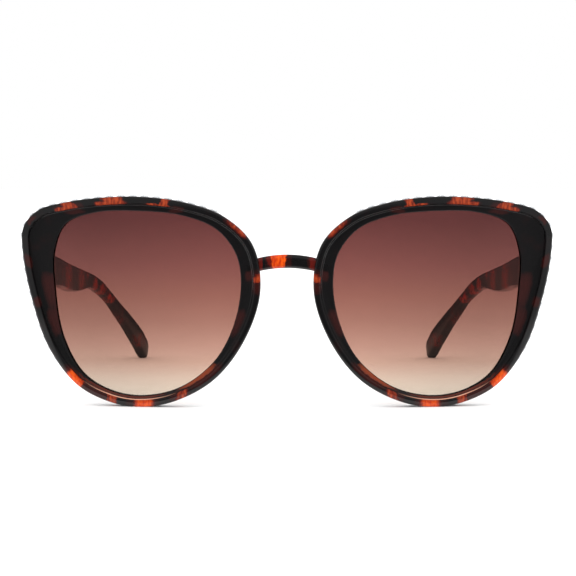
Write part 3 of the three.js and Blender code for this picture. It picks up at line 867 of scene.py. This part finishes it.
def painted_highlight_line(n, run, across):
    """A painted highlight along the ridge's inner edge, standing in for overhead light reflected on the
    ridge's step.
    """
    first, last = (run_at(end) for end in PAINTED_HIGHLIGHT_ENDS)
    from_middle = n.math("ABSOLUTE", n.math("SUBTRACT", run, (first + last) / 2))
    lengthways = n.spread(from_middle, (last - first) / 2, (last - first) / 5)
    from_edge = n.math("ABSOLUTE", n.math("SUBTRACT", across, RIDGE_EDGE))
    return n.math("MULTIPLY", lengthways, n.spread(from_edge, *PAINTED_HIGHLIGHT_FADE))


def front_material():
    """Tortoiseshell with its patches where the rims' pattern map puts them, and painted light: a highlight
    line at the ridge's inner edge, and light over the red low in the recess.
    """
    material = bpy.data.materials.new("tortoise_front")
    n = Nodes(material)
    folded = folded_position(n)
    run, across, _ = n.parts(n.add("ShaderNodeUVMap", uv_map=PATTERN_MAP).outputs[0])
    ragged = ragged_pattern(n, folded, run, across)
    on_ridge = n.spread(across, RIDGE_EDGE + 0.02, RIDGE_EDGE - 0.08)
    in_recess = n.inverse(on_ridge)
    clouds = n.math("MULTIPLY", soft_clouds(n, folded, 0.16, 0.52, 0.75), 0.25)
    red = streak_mask(n, ragged, rim_streaks(RED_STREAKS) + bridge_streaks(BRIDGE_BODY), 0.85)
    bridge_red = streak_mask(n, ragged, bridge_streaks(BRIDGE_RED), 0.7)
    recess_red, red_with_painted_light, red_with_painted_glow = (
        n.math("MULTIPLY", streak_mask(n, ragged, rim_streaks(streaks), softness), in_recess)
        for streaks, softness in ((RECESS_STREAKS, 0.95), (RED_WITH_PAINTED_LIGHT_STREAKS, 0.7), (RED_WITH_PAINTED_GLOW_STREAKS, 0.9)))
    deep_reach = streak_reach(n, ragged, rim_streaks(DEEP_STREAKS))
    bright_reach = streak_reach(n, ragged, rim_streaks(ORANGE_STREAKS) + bridge_streaks(BRIDGE_ORANGE))
    halo = n.spread(n.math("MINIMUM", deep_reach, bright_reach), 3.2, 0.6)
    colour = n.mix(largest(n, [clouds, red]), DARK_PLASTIC, DARK_RED)
    for share, paint in (
        (recess_red, RECESS_RED),
        (bridge_red, BRIDGE_STREAK_RED),
        # painted light over the plastic's red, low in the recess, in this row and the next
        (red_with_painted_light, RED_WITH_PAINTED_LIGHT_BROWN),
        (red_with_painted_glow, RED_WITH_PAINTED_GLOW_BROWN),
        (n.math("MULTIPLY", halo, on_ridge), HALO_RED),
        (n.math("MULTIPLY", within(n, deep_reach, 0.9), on_ridge), flaked(n, folded, DEEP_ORANGE)),
        (n.math("MULTIPLY", within(n, bright_reach, 0.75), on_ridge), flaked(n, folded, BRIGHT_ORANGE)),
        # painted highlight along the ridge's inner edge, low on the rim
        (painted_highlight_line(n, run, across), PAINTED_HIGHLIGHT_COLOUR),
    ):
        colour = n.mix(share, colour, paint)
    n.finish(polished(n, colour))
    return material


def temple_material():
    """Tortoiseshell with red clouds through the temples and orange patches on their outsides."""
    material = bpy.data.materials.new("tortoise_temple")
    n = Nodes(material)
    folded = folded_position(n)
    clouds = [((TEMPLE_CLOUD_X, y, z), (THROUGH, a, b), turn) for y, z, a, b, turn in TEMPLE_CLOUDS]
    faint = n.math("MULTIPLY", soft_clouds(n, folded, 0.13, 0.5, 0.68), 0.25)
    red = n.math("MAXIMUM", cloud_mask(n, wobbled(n, folded, 0.28, 3.4), clouds, 0.45), faint)
    orange = soft_clouds(n, wobbled(n, folded, 0.3, 4.0), 0.1, 0.56, 0.64)
    outside = n.spread(n.parts(folded)[0], *TEMPLE_OUTSIDE)
    red = n.math("MULTIPLY", red, n.inverse(n.math("MULTIPLY", outside, 0.5)))
    colour = n.mix(red, DARK_PLASTIC, flaked(n, folded, TEMPLE_RED))
    colour = n.mix(n.math("MULTIPLY", orange, outside), colour, flaked(n, folded, TEMPLE_ORANGE))
    n.finish(polished(n, colour))
    return material


def pad_material():
    """Dark plastic with faint red clouds."""
    material = bpy.data.materials.new("tortoise_pad")
    n = Nodes(material)
    red = soft_clouds(n, wobbled(n, folded_position(n), 0.4, 2.0), 0.22, 0.45, 0.65)
    n.finish(polished(n, n.mix(red, DARK_PLASTIC, DARK_RED)))
    return material


# ---- Lenses, metal and stones ----

# Share of light that the lens lets through at heights in millimetres, as linear red, green and blue.
LENS_TINT = [
    (3, (0.68, 0.585, 0.475)),
    (8, (0.575, 0.43, 0.34)),
    (12, (0.468, 0.29, 0.222)),
    (17, (0.376, 0.202, 0.156)),
    (23, (0.287, 0.134, 0.103)),
    (30, (0.228, 0.0905, 0.07)),
    (38, (0.17, 0.058, 0.05)),
    (51, (0.095, 0.0275, 0.0262)),
]
# Painted shade on the lenses' outer side, standing in for the temples' shadow on the floor behind: distance
# from the middle, and how much of the tint's light each face passes there.
PAINTED_SHADE_NASAL = (19.5, 1.0)
PAINTED_SHADE_OUTER = (52.0, 0.9)
LENS_MIRROR = 0.0255  # share of light that each face of a lens throws back when looked at squarely
CRYSTAL_CLEAR = 0.7  # share of light that goes straight through a stone


def lens_material():
    """A gradient tint, half of it on each face, with painted shade towards the outer side, under a thin
    gloss.
    """
    material = bpy.data.materials.new("gradient_lens")
    n = Nodes(material)
    from_middle, _, height = n.parts(folded_position(n))
    low, high = LENS_TINT[0][0], LENS_TINT[-1][0]
    stops = [((z - low) / (high - low), tuple(math.sqrt(t) for t in tint) + (1.0,)) for z, tint in LENS_TINT]
    tint = n.ramp(n.spread(height, low, high), stops)
    # painted shade: the lens passes less light towards its outer side, standing in for the temples' shadow on
    # the floor behind
    painted_shade = n.spread(from_middle, PAINTED_SHADE_NASAL[0], PAINTED_SHADE_OUTER[0], PAINTED_SHADE_NASAL[1], PAINTED_SHADE_OUTER[1])
    tint = n.add("ShaderNodeVectorMath", {0: tint, "Scale": painted_shade}, operation="SCALE").outputs[0]
    through = n.add("ShaderNodeBsdfTransparent", {"Color": tint}).outputs[0]
    gloss = n.add("ShaderNodeBsdfGlossy", {"Color": grey(1.0), "Roughness": 0.01}).outputs[0]
    # The same on the way in and on the way out, as the light is not bent and must not be trapped in the lens.
    slanting = n.math("POWER", n.add("ShaderNodeLayerWeight", {"Blend": 0.5}).outputs["Facing"], 5.0)
    mirrored = n.spread(slanting, 0.0, 1.0, LENS_MIRROR, 1.0)
    n.finish(n.add("ShaderNodeMixShader", {0: mirrored, 1: through, 2: gloss}).outputs[0])
    return material


def metal_material(name, colour, roughness, scratch):
    """Satin or polished metal with faint uneven polish."""
    material = bpy.data.materials.new(name)
    n = Nodes(material)
    noise = n.noise(design_position(n), 6.0, 4.0)
    uneven = n.spread(noise, 0.0, 1.0, roughness, roughness + scratch)
    shade = n.mix(noise, tuple(c * 0.85 for c in colour) + (1,), tuple(colour) + (1,))
    n.finish(n.add("ShaderNodeBsdfPrincipled", {
        "Base Color": shade, "Metallic": 1.0, "Roughness": uneven,
    }).outputs[0])
    return material


def crystal_material():
    """Clear cut stone: bright facets that most of the light goes through."""
    material = bpy.data.materials.new("crystal")
    n = Nodes(material)
    noise = n.noise(design_position(n), 1.3, 1.0)
    colour = n.mix(noise, (0.86, 0.88, 0.92, 1), grey(1.0))
    facets = n.add("ShaderNodeBsdfPrincipled", {
        "Base Color": colour, "Metallic": 0.75, "Roughness": 0.03,
        "Coat Weight": 1.0, "Coat IOR": 1.6, "Coat Roughness": 0.0,
    }).outputs[0]
    through = n.add("ShaderNodeBsdfTransparent", {"Color": (0.95, 0.96, 0.97, 1)}).outputs[0]
    n.finish(n.add("ShaderNodeMixShader", {0: CRYSTAL_CLEAR, 1: facets, 2: through}).outputs[0])
    return material


# ---- Stage ----

CAMERA_DISTANCE = 450.0  # from the front of the bridge, in millimetres
CAMERA_X = 0.27
CAMERA_HEIGHT = 59.1
CAMERA_TILT = 3.385  # degrees down
CAMERA_LENS = 105.4
SOFT_LIGHT = 1.7  # strength of the white studio light on matt surfaces
FLOOR_HALF_SIZE = 60.0  # in metres, like the other distances on the floor
FLOOR_WHITE = 0.92
# The floor's shade in reflections: straight in front of the object, far to the sides, and behind it.
FLOOR_AHEAD = 0.08
FLOOR_ASIDE = 0.34
FLOOR_BEHIND = 0.36
FLOOR_MIDDLE = 0.06  # half width that counts as straight in front
FLOOR_FULLY_ASIDE = 1.6  # sideways distance over forward distance that counts as far to the side
FLOOR_FRONT_FADE = (0.072, 0.14)  # distances at which those shades fade in, towards the camera
FLOOR_REAR_FADE = (0.1, 0.2)  # and away from it
# How bright the studio's walls look in reflections, by direction: -1 is towards the camera and 1 is away.
STUDIO_WALLS = [(-1.0, 0.12), (-0.95, 0.18), (-0.87, 0.27), (-0.7, 0.42), (-0.55, 0.52), (0.0, 0.42),
                (0.4, 0.42), (0.85, 0.46)]
STUDIO_RISE = 0.35  # how much sooner the walls get bright higher up


def build_camera():
    camera = bpy.data.objects.new("camera", bpy.data.cameras.new("camera"))
    camera.data.lens = CAMERA_LENS
    camera.data.sensor_width = 36
    camera.data.clip_start = 0.01
    camera.location = tuple(place([(CAMERA_X, -CAMERA_DISTANCE, CAMERA_HEIGHT)])[0])
    camera.rotation_euler = (math.radians(90 - CAMERA_TILT), 0, 0)
    bpy.context.scene.collection.objects.link(camera)
    bpy.context.scene.camera = camera


def floor_material():
    """White, but darker in reflections before and behind the object, as in a studio that is dark there."""
    material = bpy.data.materials.new("pale_floor")
    n = Nodes(material)
    x, away, _ = n.parts(n.add("ShaderNodeTexCoord").outputs["Object"])
    forward = n.math("MAXIMUM", n.math("MULTIPLY", away, -1.0), 0.01)
    sideways = n.math("SUBTRACT", n.math("ABSOLUTE", x), FLOOR_MIDDLE)
    slope = n.math("DIVIDE", sideways, forward)
    level = n.spread(slope, 0.0, FLOOR_FULLY_ASIDE, FLOOR_AHEAD, FLOOR_ASIDE)
    in_front = n.spread(forward, *FLOOR_FRONT_FADE)
    behind = n.spread(away, *FLOOR_REAR_FADE)
    level = n.mix(behind, level, grey(FLOOR_BEHIND))
    reflected = n.add("ShaderNodeLightPath").outputs["Is Glossy Ray"]
    dimmed = n.math("MULTIPLY", n.math("MAXIMUM", in_front, behind), reflected)
    colour = n.mix(dimmed, grey(FLOOR_WHITE), level)
    n.finish(n.add("ShaderNodeBsdfDiffuse", {"Color": colour}).outputs[0])
    return material


def build_floor():
    corners = [(x * FLOOR_HALF_SIZE, y * FLOOR_HALF_SIZE, 0) for x, y in ((-1, -1), (1, -1), (1, 1), (-1, 1))]
    floor = new_object("floor", corners, [(0, 1, 2, 3)])
    floor.data.materials.append(floor_material())


def build_world():
    """White to the camera and to matt surfaces; reflections see a studio that is dark towards the camera."""
    world = bpy.data.worlds.new("studio")
    bpy.context.scene.world = world
    n = Nodes(world, "ShaderNodeOutputWorld")
    _, away, up = n.parts(n.add("ShaderNodeTexCoord").outputs["Generated"])
    raised = n.multiply_add(n.math("MAXIMUM", up, 0.0), STUDIO_RISE, away)
    stops = [((depth + 1) / 2, grey(strength)) for depth, strength in STUDIO_WALLS]
    walls = n.ramp(n.spread(raised, -1.0, 1.0), stops)
    path = n.add("ShaderNodeLightPath").outputs
    unreflected = n.multiply_add(path["Is Camera Ray"], 1 - SOFT_LIGHT, SOFT_LIGHT)
    strength = n.mix(path["Is Glossy Ray"], unreflected, walls)
    n.finish(n.add("ShaderNodeBackground", {"Color": grey(1.0), "Strength": strength}).outputs[0])


# ---- Assembly ----

build_camera()
bpy.context.scene.view_settings.view_transform = "Standard"
build_floor()
build_world()

front_plastic = front_material()
temple_plastic = temple_material()
pad_plastic = pad_material()
tinted_and_shaded_lens = lens_material()
hinge_metal = metal_material("hinge_metal", (0.62, 0.59, 0.54), 0.25, 0.15)
setting_metal = metal_material("setting_metal", (0.86, 0.86, 0.88), 0.1, 0.1)
crystal = crystal_material()

build_front(front_plastic)
for side_name, side in SIDES:
    build_lens(f"lens_{side_name}", side, tinted_and_shaded_lens)
    build_nose_pad(f"nose_pad_{side_name}", side, pad_plastic)
    build_temple(side_name, side, temple_plastic)
    build_stones(side_name, side, setting_metal, crystal)
    for node in ("hinge_front_leaf", "hinge_temple_leaf", "hinge_screw", "temple_core_wire"):
        carried = frame["nodes"][f"{node}_{side_name}"]
        carried.data.materials.clear()
        carried.data.materials.append(hinge_metal)
